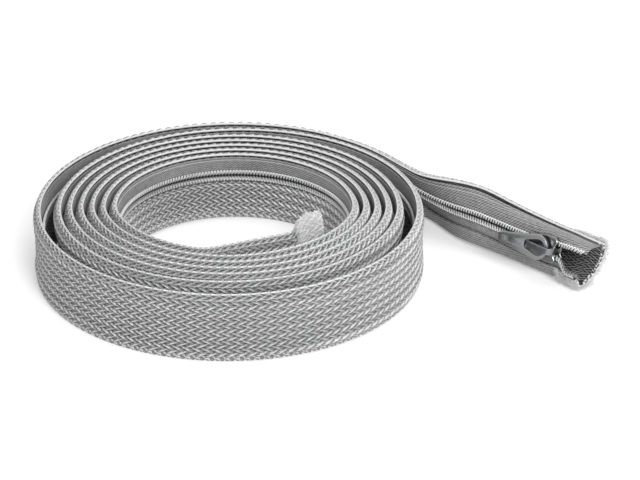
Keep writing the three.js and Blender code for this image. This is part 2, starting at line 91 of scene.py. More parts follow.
# From the slider's front end: where the open tapes turn back.
OPEN_START, OPEN_END = -0.7, 6.0
# Ahead of an end binding: where the sleeve begins and ends making room for it, and begins to flare.
BOUND_START, BOUND_END, FLARE_START = 5.0, 0.5, 2.0

# The braid: one full step of its lattice along the sleeve, and the rows of crossings across it.
STEP_OUTER, STEP_INNER = 3.375, 2.9
ROWS = 54
STRAND_WIDTH, STRAND_THICK = 1.42, 0.22
# The way round the braid and the width of one tape.
BRAID_GIRTH, TAPE_WIDTH = 45.0, 7.5
# The lowest that the middle of a strand or a fibre may lie.
FLOOR_CLEAR = 0.12
# The zip: one turn of the coil for each tooth, wound from one filament.
TOOTH_STEP = 1.18
COIL_FILAMENT = 0.66
# How far the top of a tooth dips towards the other row.
TOOTH_DIP = 0.45
# Points across the braid and across a tape.
BRAID_COLUMNS, TAPE_COLUMNS = 110, 14
# A station in the second turn, where it is known which face looks away from the coil's middle.
FACING_STATION = 900


def smooth(x, a, b):
    t = np.clip((np.asarray(x, float) - a) / (b - a), 0, 1)
    return t * t * (3 - 2 * t)


def mix(a, b, t):
    return a + (b - a) * t


def coil_radius(turn):
    slack = OUTER_SLACK * (1 - smooth(turn, SLACK_FROM, SLACK_TO))
    wound = TURN_PITCH * np.maximum(0, turn) * smooth(turn, 0, SLACK_TO)
    return COIL_RADIUS - OUTER_SLACK + slack - wound - OUTER_FACE


def coil_lean(turn):
    angle = np.radians(LEAVE_ANGLE + 360 * turn)
    front = np.maximum(0, np.cos(angle - math.radians(LEAN_FRONT)))
    depth = smooth(turn, LEAN_FROM, LEAN_FULL) * mix(LEAN_LEAST, 1, turn / TURNS)
    return math.radians(LEAN_MOST) * front**LEAN_FALL * depth


def lay_route(step=1.0):
    """The middle of the tape plane from the mouth to the inner end: drawn finely, then cut to even steps."""
    leave = math.radians(LEAVE_ANGLE)
    leave_turn = leave - math.pi / 2
    r0 = float(coil_radius(0))
    start = np.array([r0 * math.cos(leave), r0 * math.sin(leave)])
    rise = LEAVE_BEND * (1 - math.cos(leave_turn))
    ramp = (TAIL_Y - rise - start[1]) / math.sin(leave_turn)
    ramp_end = start[0] + ramp * math.cos(leave_turn)
    bend_end = ramp_end + LEAVE_BEND * math.sin(leave_turn)
    x, y, heading, turn, inner, bound = [], [], [], [], [], []

    def add(px, py, h, t, i=0.0, b=0.0):
        px = np.atleast_1d(px)
        x.extend(px)
        y.extend(np.broadcast_to(py, px.shape))
        heading.extend(np.broadcast_to(h, px.shape))
        turn.extend(np.broadcast_to(t, px.shape))
        inner.extend(np.broadcast_to(i, px.shape))
        bound.extend(np.broadcast_to(b, px.shape))

    add(np.linspace(TAIL_END, bend_end, 240), TAIL_Y, math.pi, -1)
    a = np.linspace(0, leave_turn, 40)[1:]
    add(bend_end - LEAVE_BEND * np.sin(a), TAIL_Y - LEAVE_BEND * (1 - np.cos(a)), math.pi + a, -1)
    k = np.linspace(0, 1, 20)[1:-1]
    ramp_y = start[1] + ramp * (1 - k) * math.sin(leave_turn)
    add(mix(ramp_end, start[0], k), ramp_y, math.pi + leave_turn, -1)
    tail_count = len(x)
    t = np.linspace(0, TURNS, 2600)
    a = leave + 2 * math.pi * t
    r = coil_radius(t)
    add(r * np.cos(a), r * np.sin(a), a + math.pi / 2, t)
    last = (x[-1], y[-1], heading[-1])
    left = last[2] + math.pi / 2
    centre = (last[0] + INNER_BEND * math.cos(left), last[1] + INNER_BEND * math.sin(left))
    h = last[2] + np.linspace(0, math.radians(INNER_TURN), 30)[1:]
    right = h - math.pi / 2
    add(centre[0] + INNER_BEND * np.cos(right), centre[1] + INNER_BEND * np.sin(right), h, TURNS)
    corner = (x[-1], y[-1], heading[-1])
    d = np.linspace(0, INNER_STRAIGHT, 60)[1:]
    b = (d >= INNER_STRAIGHT - INNER_BINDING) * 1.0
    add(corner[0] + d * math.cos(corner[2]), corner[1] + d * math.sin(corner[2]), corner[2], TURNS, d, b)

    x, y, heading, turn, inner, bound = map(np.array, (x, y, heading, turn, inner, bound))
    s = np.concatenate([[0], np.cumsum(np.hypot(np.diff(x), np.diff(y)))])
    tail = np.where(np.arange(len(x)) < tail_count, x, start[0] - (s - s[tail_count]))
    even = np.linspace(0, s[-1], int(s[-1] / step) + 1)
    drawn = {"x": x, "y": y, "heading": heading, "turn": turn, "inner": inner, "bound": bound, "tail": tail}
    route = {name: np.interp(even, s, values) for name, values in drawn.items()}
    route["s"] = even
    return route


def describe(route):
    """What the section is like along the route: how puffed, how open, how high and how far it leans."""
    x = route["tail"]
    in_tail = x > TAIL_FROM
    last_lean = coil_lean(np.array(TURNS))
    end_lean = mix(last_lean, math.radians(INNER_END_LEAN), route["inner"] / INNER_STRAIGHT)
    lean = np.where(route["inner"] > 0, end_lean, coil_lean(np.maximum(route["turn"], 0)))
    lean = np.where(in_tail, 0, lean)
    level = smooth(x, TWIST_FROM, STRAIGHT_FROM)
    tail_lean = np.radians(mix(BEND_LEAN, TAIL_LEAN, level))
    lean = lean + tail_lean * smooth(x, TAIL_FROM, TAIL_LEAN_FROM)
    puff = smooth(x, PUFF_FROM, PUFF_TO)
    zip_height = mix(ZIP_FLAT, ZIP_TAIL, smooth(x, SETTLE_FROM, STRAIGHT_FROM))
    slider_front = SLIDER_X + SLIDER_LENGTH / 2
    mouth_band = TAIL_END - MOUTH_BINDING
    inner_band = INNER_STRAIGHT - INNER_BINDING
    flare = INNER_FLARE * smooth(route["inner"], inner_band - FLARE_START, inner_band + INNER_BINDING / 2)
    at_mouth = smooth(x, mouth_band - BOUND_START, mouth_band - BOUND_END)
    return {
        "puff": puff,
        "height": mix(FLAT_HEIGHT, TAIL_HEIGHT, smooth(x, SETTLE_FROM, HEIGHT_TO)) + flare,
        "depth": mix(FLAT_DEPTH, TAIL_DEPTH, puff),
        "zip": zip_height,
        "open": smooth(x, slider_front + OPEN_START, slider_front + OPEN_END),
        "spread": SPREAD * smooth(x, SLIDER_X + SPREAD_START, SLIDER_X + SPREAD_END),
        "uncover": smooth(x, UNCOVER_FROM, UNCOVER_TO),
        "slant": MOUTH_SLANT * smooth(x, SLIDER_X + SLANT_START, TAIL_END),
        "bound": np.where(in_tail, at_mouth, route["bound"]),
        "lean": lean,
        "pivot": np.where(in_tail, zip_height, 0),
        "level": level,
    }


def braid_line(d):
    """The ten corners of the braid's middle line at each station, from its upper cut edge to the lower."""
    n = len(d["puff"])
    top = d["height"] - WALL / 2
    bottom = np.full(n, WALL / 2)
    middle = d["depth"] / 2 - TAPE_TO_BRAID
    r = d["depth"] / 2

    def arc(deg, high):
        a = math.radians(deg)
        return np.stack([middle + r * math.cos(a), high + r * math.sin(a)], 1)

    flat = [
        arc(100, top - r), arc(55, top - r), arc(10, top - r),
        np.stack([middle + r, mix(bottom, top, 0.66)], 1), np.stack([middle + r, mix(bottom, top, 0.33)], 1),
        arc(-10, bottom + r),
        np.stack([middle + LIP_FLAT, bottom], 1), np.stack([middle - LIP_FLAT, bottom], 1),
        arc(-170, bottom + r), np.stack([middle - r, np.full(n, SEAM_FLAT)], 1),
    ]
    a = (d["height"] - WALL) / 2
    angles = [mix(84, 92, d["open"]), 62, 38, 12, -18, -50, None, None, -118, mix(-149, -132, d["open"])]
    line = []
    for i, deg in enumerate(angles):
        if deg is None:
            side = 1 if i == 6 else -1
            around = np.stack([middle + side * mix(LIP_FLAT, 1.6, d["puff"]), bottom], 1)
        else:
            t = np.radians(np.broadcast_to(deg, (n,)))
            around = np.stack([middle + r * np.cos(t), bottom + a + a * np.sin(t)], 1)
        k = (np.maximum(d["puff"], d["uncover"]) if i == 9 else d["puff"])[:, None]
        line.append(mix(flat[i], around, k))
    return np.stack(line, 1)


def unit(v):
    return v / np.maximum(np.linalg.norm(v, axis=-1, keepdims=True), 1e-9)


def offset_line(line, distance):
    """Moves the lines sideways, outwards for a positive distance."""
    one = unit(line[:, 1:] - line[:, :-1])
    before = np.concatenate([one[:, :1], one], 1)
    after = np.concatenate([one, one[:, -1:]], 1)
    along = unit(before + after)
    stretch = 1 / np.maximum(0.6, (along * before).sum(-1, keepdims=True))
    across = np.stack([-along[..., 1], along[..., 0]], -1)
    return line + across * distance * stretch


def tape_line(d, side):
    braid = offset_line(braid_line(d), -TAPE_TO_BRAID)
    n = len(d["puff"])
    edge = np.stack([np.zeros(n), d["zip"] + side * (TAPE_INNER + d["spread"])], 1)
    bend = np.stack([np.zeros(n), d["zip"] + side * TAPE_FLAT], 1)
    if side > 0:
        bend[:, 1] = np.minimum(bend[:, 1], d["height"] - WALL - CLEARANCE - 1.6)
        flat_end = np.stack([np.zeros(n), d["height"] - WALL - CLEARANCE - TAPE / 2], 1)
        sewn = mix(flat_end, braid[:, 0], d["puff"][:, None])
        sewn[:, 1] = np.minimum(sewn[:, 1], d["height"] - WALL - CLEARANCE - TAPE / 2)
        wide = [(-2.4, 3.2), (-1.0, 5.1)]
    else:
        flat_end = np.stack([np.zeros(n), d["zip"] - 7.6], 1)
        round_end = mix(braid[:, 9], braid[:, 8], 0.25)
        sewn = mix(flat_end, round_end, np.maximum(d["puff"], d["uncover"])[:, None])
        bend[:, 1] = np.maximum(bend[:, 1], sewn[:, 1] + 1)
        wide = [(-1.9, -5.4), (0.0, -7.0)]
    wide = [np.stack([np.full(n, u), d["zip"] + v], 1) for u, v in wide]
    k = d["open"][:, None]
    return np.stack([mix(edge, wide[0], k), mix(bend, wide[1], k), sewn], 1)


def leaned(p, d):
    cos, sin = np.cos(d["lean"])[:, None], np.sin(d["lean"])[:, None]
    high = p[..., 1] - d["pivot"][:, None]
    return p[..., 0] * cos - high * sin, p[..., 0] * sin + high * cos


def standing(d):
    """How high the pivot lies when the leaning section just stands on the floor."""
    line = braid_line(d)
    lowest = []
    for near, far in ((-WALL / 2, WALL / 2), (BINDING_SHIFT - BINDING / 2, BINDING_SHIFT + BINDING / 2)):
        outline = np.concatenate([offset_line(line, near), offset_line(line, far)], 1)
        lowest.append(leaned(outline, d)[1].min(1))
    return -mix(lowest[0], lowest[1], d["bound"])


ROUTE = lay_route()
SECTION = describe(ROUTE)
OWN_RISE = standing(SECTION)
RAISED = np.maximum(OWN_RISE, mix(OWN_RISE, OWN_RISE[0], SECTION["level"]))


def place(p):
    """Puts section points (u, v) of every station into the part's frame, in metres."""
    out, high = leaned(p, SECTION)
    z = high + RAISED[:, None]
    h = ROUTE["heading"][:, None]
    forward = SECTION["slant"][:, None] * (z - TAIL_HEIGHT / 2)
    x = ROUTE["x"][:, None] + out * np.sin(h) - forward * np.cos(h) + COIL_MIDDLE[0]
    y = ROUTE["y"][:, None] - out * np.cos(h) - forward * np.sin(h) + COIL_MIDDLE[1]
    return np.stack([x, y, z], -1) * MM


def rounded(line, per=6):
    """A smooth curve through the corners, drawn so that it never swings out between them."""
    seg = line[:, 1:] - line[:, :-1]
    size = np.linalg.norm(seg, axis=-1, keepdims=True)
    direction = seg / np.maximum(size, 1e-9)
    weighed = direction / np.maximum(size, 1e-6)
    inner = unit(weighed[:, :-1] + weighed[:, 1:])
    tangent = np.concatenate([direction[:, :1], inner, direction[:, -1:]], 1)
    rows = []
    for k in range(per):
        t = k / per
        h00, h10 = 2 * t**3 - 3 * t**2 + 1, t**3 - 2 * t**2 + t
        h01, h11 = -2 * t**3 + 3 * t**2, t**3 - t**2
        near = h00 * line[:, :-1] + h10 * size * tangent[:, :-1]
        far = h01 * line[:, 1:] + h11 * size * tangent[:, 1:]
        rows.append(near + far)
    curve = np.stack(rows, 2).reshape(len(line), -1, 2)
    return np.concatenate([curve, line[:, -1:]], 1)


def spaced(curve, count):
    """The same curves with count + 1 points at even distances."""
    size = np.linalg.norm(np.diff(curve, axis=1), axis=-1)
    run = np.concatenate([np.zeros((len(curve), 1)), np.cumsum(size, 1)], 1)
    t = np.linspace(0, 1, count + 1)
    out = np.empty((len(curve), count + 1, 2))
    for i in range(len(curve)):
        for axis in (0, 1):
            out[i, :, axis] = np.interp(t * run[i, -1], run[i], curve[i, :, axis])
    return out


def station_at(s):
    """Where a distance s in mm falls among the evenly spaced stations."""
    return np.asarray(s) / ROUTE["s"][-1] * (len(ROUTE["s"]) - 1)


class Surface:
    """A grid of points over the sleeve, read at any s along it in mm and any t from 0 to 1 across it."""

    def __init__(self, curve, columns, outwards=True):
        self.columns = columns
        self.points = place(spaced(curve, columns))
        along = np.gradient(self.points, axis=0)
        across = np.gradient(self.points, axis=1)
        self.normals = unit(np.cross(along, across))
        column = columns * 3 // 11
        away = self.points[FACING_STATION, column] - np.array([*COIL_MIDDLE * MM, 0.0])
        if (np.dot(self.normals[FACING_STATION, column], away) > 0) != outwards:
            self.normals = -self.normals

    def read(self, grid, s, t):
        i = np.clip(station_at(s), 0, len(ROUTE["s"]) - 1.001)
        j = np.clip(np.asarray(t) * self.columns, 0, self.columns - 0.001)
        a, b = i.astype(int), j.astype(int)
        fi, fj = (i - a)[:, None], (j - b)[:, None]
        return (
            grid[a, b] * (1 - fi) * (1 - fj) + grid[a + 1, b] * fi * (1 - fj)
            + grid[a, b + 1] * (1 - fi) * fj + grid[a + 1, b + 1] * fi * fj
        )

    def at(self, s, t, height=0.0):
        normal = unit(self.read(self.normals, s, t))
        return self.read(self.points, s, t) + normal * np.asarray(height).reshape(-1, 1) * MM, normal


BRAID = Surface(rounded(braid_line(SECTION)), BRAID_COLUMNS)

# How many steps of the lattice lie between the mouth and each station.
LATTICE_STEP = mix(STEP_OUTER, STEP_INNER, smooth(ROUTE["turn"], 0, 6))
LATTICE = np.concatenate([[0], np.cumsum(1 / LATTICE_STEP[1:] * np.diff(ROUTE["s"]))])


def s_at_turn(turn):
    """How far along the sleeve a place in the coil lies, given in turns from where the tail leaves it."""
    in_coil = ROUTE["turn"] >= 0
    return float(np.interp(turn, ROUTE["turn"][in_coil], ROUTE["s"][in_coil]))


# Distances along the sleeve: where the coil begins, where its outermost turn ends, where its innermost
# turn begins, where the inner end leaves the coil, and the end. A turn that shows its whole wall is taken
# a little longer than one round.
TURN_SHOWN = 1.04
S_COIL = s_at_turn(0)
S_FIRST = s_at_turn(TURN_SHOWN)
S_LAST = s_at_turn(TURNS - TURN_SHOWN)
S_END = float(ROUTE["s"][-1])
S_STRAIGHT = S_END - INNER_STRAIGHT - INNER_BEND * math.radians(INNER_TURN)


# Materials.
def new_material(name, rgb, roughness, metallic=0.0):
    material = bpy.data.materials.new(name)
    material.use_nodes = True
    shader = material.node_tree.nodes["Principled BSDF"]
    shader.inputs["Base Color"].default_value = (*rgb, 1)
    shader.inputs["Roughness"].default_value = roughness
    shader.inputs["Metallic"].default_value = metallic
    material.diffuse_color = (*rgb, 1)
    return material, material.node_tree, shader


def link(tree, a, b):
    tree.links.new(a, b)


def add_math(tree, operation, *values, clamp=False):
    node = tree.nodes.new("ShaderNodeMath")
    node.operation = operation
    node.use_clamp = clamp
    for i, value in enumerate(values):
        if isinstance(value, (int, float)):
            node.inputs[i].default_value = value
        else:
            link(tree, value, node.inputs[i])
    return node.outputs[0]


def times(tree, a, b, clamp=False):
    return add_math(tree, "MULTIPLY", a, b, clamp=clamp)


def plus(tree, a, b, clamp=False):
    return add_math(tree, "ADD", a, b, clamp=clamp)


def minus(tree, a, b, clamp=False):
    return add_math(tree, "SUBTRACT", a, b, clamp=clamp)


def absolute(tree, a):
    return add_math(tree, "ABSOLUTE", a)


def attribute(tree, name):
    node = tree.nodes.new("ShaderNodeAttribute")
    node.attribute_name = name
    return node.outputs["Fac"]


def noise(tree, scale, detail=2.0, coordinates=None):
    node = tree.nodes.new("ShaderNodeTexNoise")
    node.inputs["Scale"].default_value = scale
    node.inputs["Detail"].default_value = detail
    if coordinates is None:
        coordinates = tree.nodes.new("ShaderNodeTexCoord").outputs["Object"]
    link(tree, coordinates, node.inputs["Vector"])
    return node.outputs["Fac"]


def combine(tree, x, y, z=0.0):
    node = tree.nodes.new("ShaderNodeCombineXYZ")
    for i, value in enumerate((x, y, z)):
        if isinstance(value, (int, float)):
            node.inputs[i].default_value = value
        else:
            link(tree, value, node.inputs[i])
    return node.outputs[0]


def blend_colour(tree, factor, a, b):
    node = tree.nodes.new("ShaderNodeMix")
    node.data_type = "RGBA"
    for socket, value in ((node.inputs[0], factor), (node.inputs[6], a), (node.inputs[7], b)):
        if isinstance(value, tuple):
            socket.default_value = (*value, 1)
        elif isinstance(value, (int, float)):
            socket.default_value = value
        else:
            link(tree, value, socket)
    return node.outputs[2]


def add_bump(tree, shader, height, strength, distance):
    node = tree.nodes.new("ShaderNodeBump")
    node.inputs["Strength"].default_value = strength
    node.inputs["Distance"].default_value = distance
    link(tree, height, node.inputs["Height"])
    link(tree, node.outputs[0], shader.inputs["Normal"])


def grey(v):
    return (v, v * 1.003, v * 1.006)


def new_group(name, inputs, outputs):
    group = bpy.data.node_groups.new(name, "ShaderNodeTree")
    for label in inputs:
        group.interface.new_socket(label, in_out="INPUT", socket_type="NodeSocketFloat")
    for label, kind in outputs:
        group.interface.new_socket(label, in_out="OUTPUT", socket_type=kind)
    return group, group.nodes.new("NodeGroupInput"), group.nodes.new("NodeGroupOutput")


def filament_group():
    """Parallel filaments in one strand: ridges across it, streaks along it, and a tone of its own, with
    painted shade between the filaments, towards the strand's edges and where it sinks under a crossing
    strand.
    """
    group, given, out = new_group(
        "bundled filaments",
        ["Across", "Along", "Tone", "Filaments", "Depth"],
        [("Ridge", "NodeSocketFloat"), ("Shade", "NodeSocketFloat")],
    )
    across, along, tone, count, depth = given.outputs[:5]
    wave = times(group, times(group, across, count), math.pi / 2)
    ridge = absolute(group, add_math(group, "COSINE", wave))
    drawn_out = [times(group, value, scale) for value, scale in ((across, 2.5), (along, 0.35), (tone, 40.0))]
    streak = noise(group, 1.0, 2.0, combine(group, *drawn_out))
    # Painted shade between the filaments: the colour follows the ridges and darkens where they fall away.
    shade = plus(group, times(group, ridge, 0.35), times(group, streak, 0.65))
    own = plus(group, times(group, tone, 0.16), 0.5)
    shade = plus(group, times(group, shade, 0.55), own, clamp=True)
    # Painted shade: the strand darkens towards its edges.
    edge = add_math(group, "POWER", absolute(group, across), 7.0)
    painted_edge_shade = minus(group, 1.0, times(group, edge, 0.72))
    # Painted shade: Depth below 1 darkens the strand where it sinks under the crossing strand.
    painted_sink_shade = plus(group, times(group, depth, 0.68), 0.32)
    shade = times(group, times(group, shade, painted_edge_shade), painted_sink_shade, clamp=True)
    link(group, ridge, out.inputs["Ridge"])
    link(group, shade, out.inputs["Shade"])
    return group


# The cloth has a pin-hole where both strands lie further out than this, with 1 at a strand's very edge.
STRAND_EDGE = 0.86


def lattice_group():
    """The braid drawn flat where no strand covers it: how high the cloth is, and where its pin-holes are."""
    group, given, out = new_group(
        "flat braid lattice",
        ["Phase", "Row"],
        [("Height", "NodeSocketFloat"), ("Hole", "NodeSocketFloat"), ("Across", "NodeSocketFloat")],
    )
    phase, row = given.outputs[:2]
    half = times(group, row, 0.5)
    offs = []
    for operation in ("SUBTRACT", "ADD"):
        line = add_math(group, operation, phase, half)
        part = minus(group, add_math(group, "FRACT", plus(group, line, 100.5)), 0.5)
        offs.append(times(group, part, 2.0))
    over = add_math(group, "SINE", times(group, plus(group, row, 0.5), math.pi / 2))
    first = add_math(group, "GREATER_THAN", over, 0.0)
    across = plus(group, times(group, offs[0], first), times(group, offs[1], minus(group, 1.0, first)))
    edges = [add_math(group, "GREATER_THAN", absolute(group, off), STRAND_EDGE) for off in offs]
    crown = minus(group, 1.0, add_math(group, "POWER", absolute(group, across), 3.0))
    raised = times(group, crown, plus(group, absolute(group, over), 0.2))
    link(group, raised, out.inputs["Height"])
    link(group, times(group, *edges), out.inputs["Hole"])
    link(group, across, out.inputs["Across"])
    return group


FILAMENTS = filament_group()
FLAT_LATTICE = lattice_group()


def use_group(tree, group, **values):
    node = tree.nodes.new("ShaderNodeGroup")
    node.node_tree = group
    for label, value in values.items():
        socket = node.inputs[label]
        if isinstance(value, (int, float)):
            socket.default_value = value
        else:
            link(tree, value, socket)
    return node


def strand_material(name, dark, light, roughness, filaments=4.0):
    material, tree, shader = new_material(name, grey(light), roughness)
    stored = {label: attribute(tree, label.lower()) for label in ("Across", "Along", "Tone", "Depth")}
    node = use_group(tree, FILAMENTS, Filaments=filaments, **stored)
    colour = blend_colour(tree, node.outputs["Shade"], grey(dark), grey(light))
    link(tree, colour, shader.inputs["Base Color"])
    add_bump(tree, shader, node.outputs["Ridge"], 0.55, 0.00012)
    shader.inputs["Specular IOR Level"].default_value = 0.45
    return material


def cloth_material(name, dark, light, roughness):
    material, tree, shader = new_material(name, grey(light), roughness)
    lattice = use_group(tree, FLAT_LATTICE, Phase=attribute(tree, "phase"), Row=attribute(tree, "row"))
    fibre = use_group(
        tree,
        FILAMENTS,
        Across=lattice.outputs["Across"],
        Along=attribute(tree, "along"),
        Tone=noise(tree, 60.0),
        Filaments=4.0,
        Depth=1.0,
    )
    # Painted shade: the cloth is darker where it lies low, following its height.
    level = times(tree, lattice.outputs["Height"], fibre.outputs["Shade"], clamp=True)
    colour = blend_colour(tree, level, grey(dark), grey(light))
    # Painted shade: the pin-holes are painted near black for the shaded inside seen through them.
    colour = blend_colour(tree, lattice.outputs["Hole"], colour, grey(0.02))
    # Painted shade: the faces that look into the sleeve are painted near black.
    inside = blend_colour(tree, 0.93, colour, grey(0.012))
    colour = blend_colour(tree, attribute(tree, "faces_out"), inside, colour)
    link(tree, colour, shader.inputs["Base Color"])
    add_bump(tree, shader, lattice.outputs["Height"], 0.6, 0.0003)
    return material


# Millimetres from one rib of the tape to the next, and from one twill line to the next.
RIB_STEP, TWILL_STEP = 1.0, 1.2


def tape_material(name, dark, light):
    """Woven zip tape: fine ribs along it crossed by a slanting twill."""
    material, tree, shader = new_material(name, grey(light), 0.85)
    along, across = attribute(tree, "along"), attribute(tree, "cross")
    rib = add_math(tree, "SINE", times(tree, across, 2 * math.pi / RIB_STEP))
    slope = plus(tree, times(tree, along, 0.9), across)
    twill = add_math(tree, "SINE", times(tree, slope, 2 * math.pi / TWILL_STEP))
    weave = plus(tree, times(tree, rib, 0.2), times(tree, twill, 0.3))
    fuzz = noise(tree, 900.0, 3.0)
    patch = noise(tree, 45.0, 2.0)
    level = plus(tree, plus(tree, weave, 0.5), times(tree, minus(tree, fuzz, 0.5), 0.7))
    level = plus(tree, level, times(tree, minus(tree, patch, 0.5), 0.5), clamp=True)
    link(tree, blend_colour(tree, level, grey(dark), grey(light)), shader.inputs["Base Color"])
    add_bump(tree, shader, level, 0.5, 0.00018)
    shader.inputs["Sheen Weight"].default_value = 0.15
    return material


def felt_material(name, dark, light):
    """Matted fibres melted together: soft blotches with fine hairs in all directions."""
    material, tree, shader = new_material(name, grey(light), 0.9)
    blotch = noise(tree, 380.0, 3.0)
    hair = noise(tree, 2600.0, 3.0)
    level = plus(tree, times(tree, blotch, 0.9), times(tree, hair, 0.8))
    level = minus(tree, level, 0.35, clamp=True)
    link(tree, blend_colour(tree, level, grey(dark), grey(light)), shader.inputs["Base Color"])
    add_bump(tree, shader, level, 0.8, 0.0003)
    shader.inputs["Sheen Weight"].default_value = 0.25
    return material


def metal_material(name, rgb, roughness):
    """Satin coated casting: faint flow marks and small dents."""
    material, tree, shader = new_material(name, rgb, roughness, 1.0)
    cloud = noise(tree, 120.0, 3.0)
    grain = noise(tree, 1600.0, 2.0)
    tone = blend_colour(tree, cloud, tuple(0.82 * c for c in rgb), tuple(min(1.0, 1.12 * c) for c in rgb))
    link(tree, tone, shader.inputs["Base Color"])
    rough = plus(tree, times(tree, cloud, 0.18), roughness - 0.09)
    link(tree, rough, shader.inputs["Roughness"])
    add_bump(tree, shader, grain, 0.12, 0.00006)
    return material


BRAID_STRAND = strand_material("braid filament bundles", 0.07, 0.9, 0.38)
BRAID_CLOTH = cloth_material("braid ground", 0.05, 0.34, 0.6)
TAPE_CLOTH = tape_material("woven zip tape", 0.05, 0.4)
COIL_PLASTIC = strand_material("zip coil filament", 0.04, 0.9, 0.35, 1.0)
THREAD = strand_material("sewing thread", 0.2, 0.78, 0.6, 3.0)
FUZZ = strand_material("loose binding fibre", 0.62, 0.86, 0.8, 3.0)
FELT = felt_material("felted end binding", 0.42, 0.8)
CASTING = metal_material("satin slider casting", (0.27, 0.273, 0.278), 0.27)


# Geometry Nodes: one tree lays a profile along drawn lines.
def profile_tree(name, shape):
    """Lines in, solid strands out. The lines carry "upright", the way the profile's back faces."""
    tree = bpy.data.node_groups.new(name, "GeometryNodeTree")
    face = tree.interface
    face.new_socket("Geometry", in_out="INPUT", socket_type="NodeSocketGeometry")
    for label in ("Width", "Thickness"):
        face.new_socket(label, in_out="INPUT", socket_type="NodeSocketFloat")
    face.new_socket("Material", in_out="INPUT", socket_type="NodeSocketMaterial")
    face.new_socket("Geometry", in_out="OUTPUT", socket_type="NodeSocketGeometry")
    nodes, links = tree.nodes, tree.links
    given, out = nodes.new("NodeGroupInput"), nodes.new("NodeGroupOutput")
    lines = nodes.new("GeometryNodeMeshToCurve")
    links.new(given.outputs["Geometry"], lines.inputs[0])
    upright = nodes.new("GeometryNodeInputNamedAttribute")
    upright.data_type = "FLOAT_VECTOR"
    upright.inputs["Name"].default_value = "upright"
    normal = nodes.new("GeometryNodeSetCurveNormal")
    normal.mode = "FREE"
    links.new(lines.outputs[0], normal.inputs["Curve"])
    links.new(upright.outputs["Attribute"], normal.inputs["Normal"])
    if shape == "ribbon":
        profile = nodes.new("GeometryNodeCurvePrimitiveQuadrilateral")
        profile.mode = "TRAPEZOID"
        profile.inputs["Height"].default_value = 1.0
        profile.inputs["Bottom Width"].default_value = 1.0
        profile.inputs["Top Width"].default_value = 0.62
        profile.inputs["Offset"].default_value = 0.0
    else:
        profile = nodes.new("GeometryNodeCurvePrimitiveCircle")
        profile.inputs["Resolution"].default_value = 5
        profile.inputs["Radius"].default_value = 0.5
    size = nodes.new("ShaderNodeCombineXYZ")
    links.new(given.outputs["Width"], size.inputs[0])
    links.new(given.outputs["Thickness"], size.inputs[1])
    size.inputs[2].default_value = 1.0
    position = nodes.new("GeometryNodeInputPosition")
    split = nodes.new("ShaderNodeSeparateXYZ")
    links.new(position.outputs[0], split.inputs[0])
    double = nodes.new("ShaderNodeMath")
    double.operation = "MULTIPLY"
    double.inputs[1].default_value = 2.0
    links.new(split.outputs[0], double.inputs[0])
    across = nodes.new("GeometryNodeStoreNamedAttribute")
    across.data_type = "FLOAT"
    across.inputs["Name"].default_value = "across"
    links.new(profile.outputs[0], across.inputs["Geometry"])
    links.new(double.outputs[0], across.inputs["Value"])
    scaled = nodes.new("GeometryNodeTransform")
    links.new(across.outputs[0], scaled.inputs["Geometry"])
    links.new(size.outputs[0], scaled.inputs["Scale"])
    sweep = nodes.new("GeometryNodeCurveToMesh")
    links.new(normal.outputs[0], sweep.inputs["Curve"])
    links.new(scaled.outputs[0], sweep.inputs["Profile Curve"])
    sweep.inputs["Fill Caps"].default_value = True
    smoothed = nodes.new("GeometryNodeSetShadeSmooth")
    links.new(sweep.outputs[0], smoothed.inputs["Geometry"])
    real = nodes.new("GeometryNodeRealizeInstances")
    links.new(smoothed.outputs[0], real.inputs[0])
    paint = nodes.new("GeometryNodeSetMaterial")
    links.new(real.outputs[0], paint.inputs["Geometry"])
    links.new(given.outputs["Material"], paint.inputs["Material"])
    links.new(paint.outputs[0], out.inputs[0])
    return tree


RIBBON_TREE = profile_tree("lay ribbons along lines", "ribbon")
ROUND_TREE = profile_tree("lay round filament along lines", "round")


def add_object(name, mesh):
    obj = bpy.data.objects.new(name, mesh)
    bpy.context.scene.collection.objects.link(obj)
    return obj


def store(mesh, label, values):
    """Keeps one number for each point of a mesh, for its material to read."""
    layer = mesh.attributes.new(label, "FLOAT", "POINT")
    layer.data.foreach_set("value", np.asarray(values, np.float32).ravel())


def line_mesh(name, lines):
    """Lines as loose edges. Each is a dict of its points, upright, along and tone, and depth, a painted
    shade that darkens it where it sinks.
    """
    points = np.concatenate([line["points"] for line in lines])
    points[:, 2] = np.maximum(points[:, 2], FLOOR_CLEAR * MM)
    edges, base = [], 0
    for line in lines:
        n = len(line["points"])
        edges.append(np.stack([np.arange(n - 1), np.arange(1, n)], 1) + base)
        base += n
    edges = np.concatenate(edges)
    mesh = bpy.data.meshes.new(name)
    mesh.vertices.add(len(points))
    mesh.vertices.foreach_set("co", points.astype(np.float32).ravel())
    mesh.edges.add(len(edges))
    mesh.edges.foreach_set("vertices", edges.astype(np.int32).ravel())
    upright = np.concatenate([line["upright"] for line in lines]).astype(np.float32)
    mesh.attributes.new("upright", "FLOAT_VECTOR", "POINT").data.foreach_set("vector", upright.ravel())
    for label in ("along", "depth", "tone"):
        values = [np.broadcast_to(line.get(label, 1.0), (len(line["points"]),)) for line in lines]
        store(mesh, label, np.concatenate(values))
    mesh.update()
    return mesh


def lay(name, lines, tree, width, thickness, material):
    """Runs a Geometry Nodes tree on drawn lines and keeps the result as a plain mesh."""
    source = add_object(name + "_lines", line_mesh(name, lines))
    modifier = source.modifiers.new("strands", "NODES")
    modifier.node_group = tree
    sockets = {item.name: item.identifier for item in tree.interface.items_tree if item.in_out == "INPUT"}
    modifier[sockets["Width"]] = width * MM
    modifier[sockets["Thickness"]] = thickness * MM
    modifier[sockets["Material"]] = material
    bpy.context.view_layer.update()
    made = bpy.data.meshes.new_from_object(source.evaluated_get(bpy.context.evaluated_depsgraph_get()))
    made.name = name
    bpy.data.objects.remove(source)
    piece = add_object(name, made)
    if not made.materials:
        made.materials.append(material)
    return piece


# The braid's strands. They rise and sink by this much as they cross.
WEAVE = 0.13


